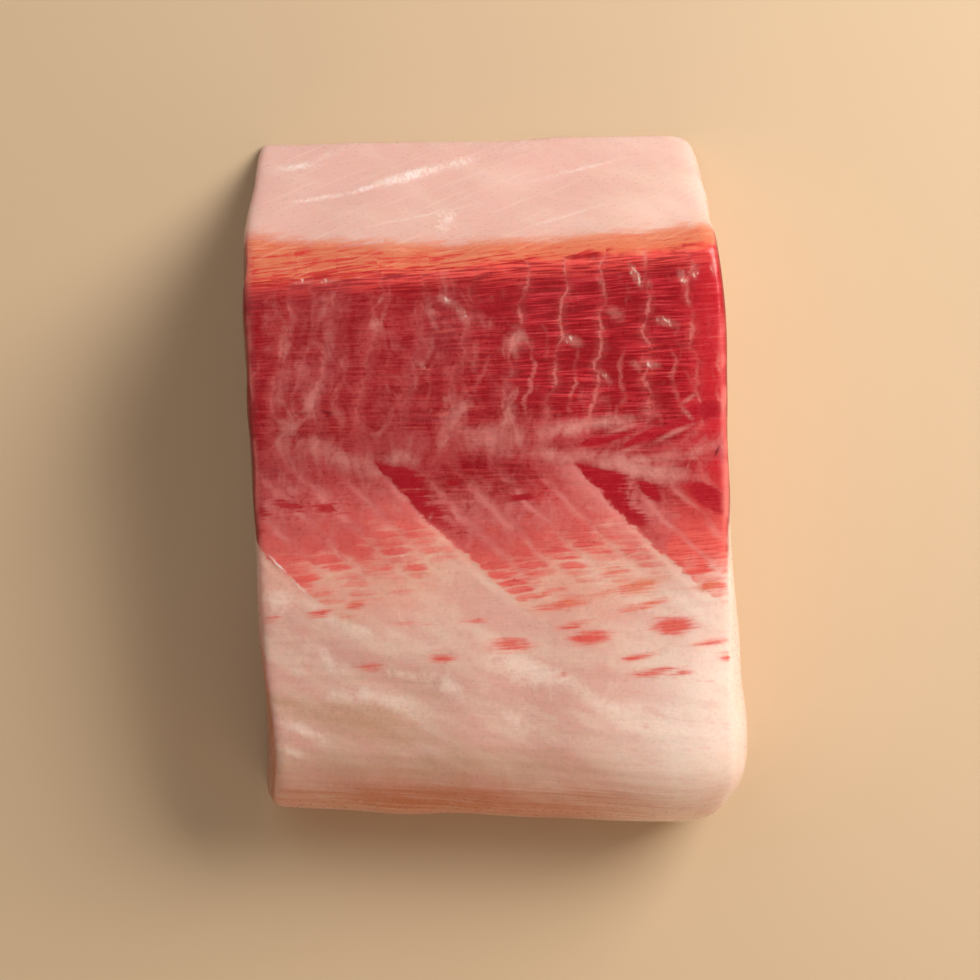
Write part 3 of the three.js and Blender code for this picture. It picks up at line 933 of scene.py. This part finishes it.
# what lies on the dark muscle, from the film up to the folds and the painted glow of the lit edges
def coverDark(tree, where, dark):
    lines, lowLines, hazy = septumLines(tree, where)
    streak = maths(tree, "MAXIMUM", seamWedges(tree, where), fleckMask(tree, where, "streak", 0.7, 1.4, 0.22))
    threads = total(tree, where["fine"], centred(tree, where["grain"], 0.15),
                    centred(tree, where["fray"], 0.15))
    bare = lessened(tree, streak, 0.95)
    streak = product(tree, streak, ramp(tree, threads, 0.66, 0.46, 0.70, 1.0))
    film, veil = filmMask(tree, where, hazy)
    filmColour = mixed(tree, ramp(tree, where["y"], 1.5, -4.0), look["film"], look["lowFilm"])
    dark = mixed(tree, product(tree, film, bare, look["filmShare"]), dark, filmColour)
    bands = product(tree, paleBands(tree, where), ramp(tree, where["x"], -8.0, 4.0, 0.08, 0.55))
    dark = mixed(tree, bands, dark, look["lowSeptum"])
    dark = mixed(tree, product(tree, veil, bare, look["veilShare"]), dark, look["veil"])
    dark = mixed(tree, product(tree, streak, look["streakShare"]), dark, look["streak"])
    dark = mixed(tree, product(tree, lines, bare), dark, look["septum"])
    dark = mixed(tree, product(tree, lowLines, bare), dark, look["lowSeptum"])
    folded = ramp(tree, total(tree, where["fold"], centred(tree, where["fine"], 0.5)), 0.2, 1.3, 0.0, 0.8)
    dark = mixed(tree, folded, dark, look["veil"])
    # painted glow along the edges of the dark muscle
    rim = product(tree, where["rim"], ramp(tree, where["wander"], 0.35, 0.6, 0.15, 0.65))
    return mixed(tree, rim, dark, look["edgeGlowRed"])


def addFlecks(tree, where, colour):
    halo = ramp(tree, total(tree, where["fleck"], centred(tree, where["wisp"], 0.8)), 0.0, 1.2, 0.0, 0.30)
    colour = mixed(tree, product(tree, halo, where["onSkin"]), colour, look["thinRed"])
    orange = product(tree, ramp(tree, where["y"], -17.5, -15.0), ramp(tree, where["cloud"], 0.3, 0.6))
    fleckColour = mixed(tree, orange, look["fleck"], look["orangeFleck"])
    fibrous = ramp(tree, where["fine"], 0.35, 0.60, 0.68, 0.92)
    flecked = product(tree, fleckMask(tree, where, "fleck", 1.2, 1.5, 0.50), fibrous)
    return mixed(tree, flecked, colour, fleckColour)


def addCutMarks(tree, where, colour, red):
    edges, arcs = cutFace(tree, where)
    onPaleCut = product(tree, ramp(tree, where["onCut"], 0.6, 1.0), without(tree, red))
    colour = mixed(tree, product(tree, edges, onPaleCut, look["bundleShare"]), colour, look["bundleLine"])
    return mixed(tree, product(tree, arcs, onPaleCut, look["ringShare"]), colour, look["whiteSeamAndHighlight"])


def addHighlights(tree, where, colour):
    paintedGlints, dashes = glints(tree, where)
    broadHighlights = ramp(tree, total(tree, where["patch"], centred(tree, where["grain"], 0.6)), 0.15, 1.5)
    broken = ramp(tree, dashes, 0.36, 0.56, 0.35, 1.0)
    # painted highlights along the shining seams and in broader spots, broken up by the dashes
    paintedHighlight = product(tree, maths(tree, "MAXIMUM", thinStrokes(tree, where, seamHighlights), broadHighlights), broken)
    colour = mixed(tree, product(tree, paintedHighlight, look["highlightShare"]), colour, look["whiteSeamAndHighlight"])
    # a soft pink haze painted around the glints: painted light
    glintHaze = ramp(tree, total(tree, where["wetSpot"], centred(tree, where["wisp"], 1.2)), 0.1, 1.6, 0.0, 0.38)
    colour = mixed(tree, product(tree, glintHaze, where["onSkin"]), colour, look["veil"])
    return mixed(tree, product(tree, paintedGlints, look["glintShare"]), colour, look["creamWhite"])


# each fibre and grain is a little lighter or darker than its neighbours
def addGrit(tree, where, colour, red):
    lined = maths(tree, "MULTIPLY_ADD", red, 0.75, 0.25)
    fibres = product(tree, centred(tree, where["fine"], 0.12), lined)
    grit = total(tree, centred(tree, where["grain"], 0.14), fibres)
    grit = product(tree, grit, lessened(tree, where["onSlope"], 0.6))
    return scaled(tree, colour, maths(tree, "ADD", grit, 1.0))


def addSurface(tree, where, shader):
    height = total(tree, product(tree, where["fine"], 0.28), product(tree, where["grain"], 0.20))
    steep = maths(tree, "ADD", where["onSlope"], where["roll"], clamp=True)
    bump = addNode(tree, "ShaderNodeBump")
    bump.inputs["Strength"].default_value = look["bumpStrength"]
    bump.inputs["Distance"].default_value = look["bumpDistance"]
    feed(tree, bump.inputs["Height"], product(tree, height, lessened(tree, steep, 1.0)))
    feed(tree, shader.inputs["Normal"], bump.outputs["Normal"])
    rough = ramp(tree, where["grain"], 0.3, 0.7, look["roughness"] - 0.03, look["roughness"] + 0.05)
    feed(tree, shader.inputs["Roughness"], total(tree, rough, product(tree, where["rim"], 0.25)))
    coat = maths(tree, "MULTIPLY_ADD", where["rim"], -look["coat"], look["coat"])
    feed(tree, shader.inputs["Coat Weight"], coat)
    shader.inputs["Coat Roughness"].default_value = look["coatRoughness"]
    shader.inputs["Specular IOR Level"].default_value = look["specular"]
    shader.inputs["Subsurface Weight"].default_value = look["subsurface"]
    shader.inputs["Subsurface Radius"].default_value = look["subsurfaceRadius"]
    shader.inputs["Subsurface Scale"].default_value = look["subsurfaceScale"]


def makeFleshPaint(names):
    paint = bpy.data.materials.new("yellowtailFlesh")
    paint.use_nodes = True
    tree = paint.node_tree
    shader = tree.nodes["Principled BSDF"]
    where = readFields(tree, names)
    addNoises(tree, where)
    addEdges(tree, where)
    red = redMask(tree, where)
    dark = coverDark(tree, where, darkMuscle(tree, where))
    colour = mixed(tree, red, paleMuscle(tree, where), dark)
    colour = addFlecks(tree, where, colour)
    colour = addCutMarks(tree, where, colour, red)
    colour = addHighlights(tree, where, colour)
    colour = mixed(tree, thinStrokes(tree, where, nicks), colour, look["nick"])
    feed(tree, shader.inputs["Base Color"], addGrit(tree, where, colour, red))
    addSurface(tree, where, shader)
    return paint


flesh = makeBlock()
fields = fleshFields(flesh.data)
raiseBy(flesh, reliefOf(flesh.data, fields))
keepFields(flesh.data, fields)
print("fields and relief done")

flesh.data.materials.append(makeFleshPaint(list(fields)))
print("flesh painted")
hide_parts("fish_block")
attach(flesh, "root")
